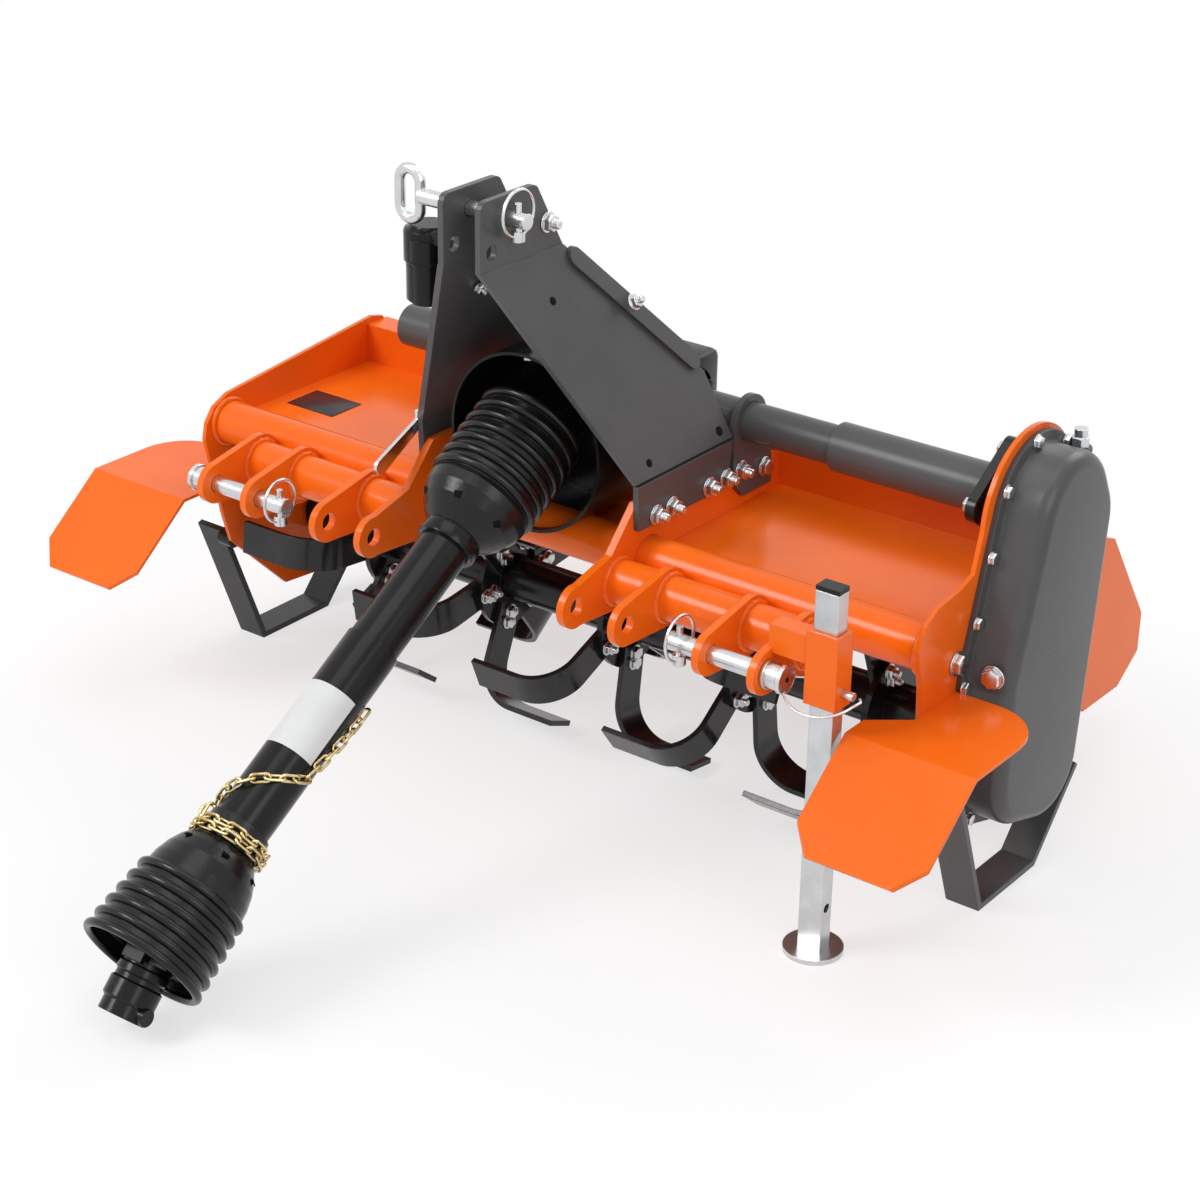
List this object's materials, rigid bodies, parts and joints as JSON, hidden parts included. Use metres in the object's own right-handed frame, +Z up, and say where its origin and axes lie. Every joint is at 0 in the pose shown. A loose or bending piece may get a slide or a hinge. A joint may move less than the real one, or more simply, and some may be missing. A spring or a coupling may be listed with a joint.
{
  "type": "rotary tiller",
  "caption": "Tractor-mounted rotary tiller with a hooded tined rotor, side chain case, hinged tailgate, skids, sliding stand, hitch mast and guarded telescopic drive shaft.",
  "frame": {"origin": "on the floor, under the middle of the machine's bounding box", "axes": "+Z up, -Y towards the tractor, +X towards the chain case"},
  "size_m": [1.347, 1.32, 0.8064],
  "materials": {
    "orange_paint": "gloss powder coat",
    "grey_paint": "satin powder coat",
    "black_paint": "satin paint",
    "black_plastic": "moulded, fine texture",
    "cast": "painted casting",
    "zinc": "bright zinc plate",
    "chain_brass": "yellow zinc plate"
  },
  "bodies": {
    "frame": {"deck": "orange_paint", "front_tube": "orange_paint", "side_plate_left": "orange_paint", "side_plate_right": "orange_paint", "hitch_left": "orange_paint", "hitch_right": "orange_paint", "long_plate_left": "orange_paint", "long_plate_right": "orange_paint", "flap_left": "orange_paint", "flap_right": "orange_paint", "stand_socket": "orange_paint", "mast_left": "grey_paint", "mast_right": "grey_paint", "mast_brace": "grey_paint", "axle_tube": "grey_paint", "axle_stub": "grey_paint", "axle_bracket": "grey_paint", "chain_case": "grey_paint", "skid_right": "grey_paint", "rotor_bearing": "black_paint", "skid_left": "black_paint", "manual_canister": "black_plastic", "pto_shield": "black_plastic", "gearbox": "cast", "lower_pin_left": "zinc", "lower_pin_right": "zinc", "linch_pins": "zinc", "top_pin": "zinc", "shaft_hook": "zinc", "input_shaft": "zinc", "oil_plug": "zinc", "stand_pin": "zinc", "tailgate_rod": "zinc"},
    "rotor": {"rotor_tube": "black_paint", "tines": "black_paint"},
    "tailgate": {"tailgate": "orange_paint"},
    "stand": {"stand_leg": "zinc", "stand_foot": "grey_paint", "stand_cap": "black_plastic"},
    "pto_swivel": {"implement_cross": "zinc"},
    "shaft_inner": {"guard_cone": "black_plastic", "inner_guard": "black_plastic"},
    "shaft_outer": {"outer_guard": "black_plastic", "tractor_bell": "black_plastic", "safety_chain": "chain_brass"},
    "tractor_swivel": {"tractor_cross": "zinc"},
    "tractor_end": {"tractor_yoke": "black_paint"}
  },
  "joints": [
    {"name": "rotor_spin", "type": "hinge", "parent": "frame", "child": "rotor", "pos_m": [0, 0.24299, 0.175], "axis": [1, 0, 0], "continuous": true},
    {"name": "tailgate_hinge", "type": "hinge", "parent": "frame", "child": "tailgate", "pos_m": [0, 0.413, 0.372], "axis": [1, 0, 0], "range_deg": [0, 60]},
    {"name": "stand_slide", "type": "slide", "parent": "frame", "child": "stand", "axis": [0, 0, 1], "range_m": [0, 0.2]},
    {"name": "pto_yaw", "type": "hinge", "parent": "frame", "child": "pto_swivel", "pos_m": [0, 0.038, 0.469], "axis": [0, 0, 1], "range_deg": [-20, 20]},
    {"name": "pto_pitch", "type": "hinge", "parent": "pto_swivel", "child": "shaft_inner", "pos_m": [0, 0.038, 0.469], "axis": [-1, 0, 0], "range_deg": [0, 35]},
    {"name": "pto_slide", "type": "slide", "parent": "shaft_inner", "child": "shaft_outer", "axis": [0, 0.8526, 0.5225], "range_m": [0, 0.1]},
    {"name": "yoke_pitch", "type": "hinge", "parent": "shaft_outer", "child": "tractor_swivel", "pos_m": [0, -0.5725, 0.09489], "axis": [-1, 0, 0], "range_deg": [0, 40]},
    {"name": "yoke_yaw", "type": "hinge", "parent": "tractor_swivel", "child": "tractor_end", "pos_m": [0, -0.5725, 0.09489], "axis": [0, -0.7193, 0.6947], "range_deg": [-25, 25]}
  ]
}
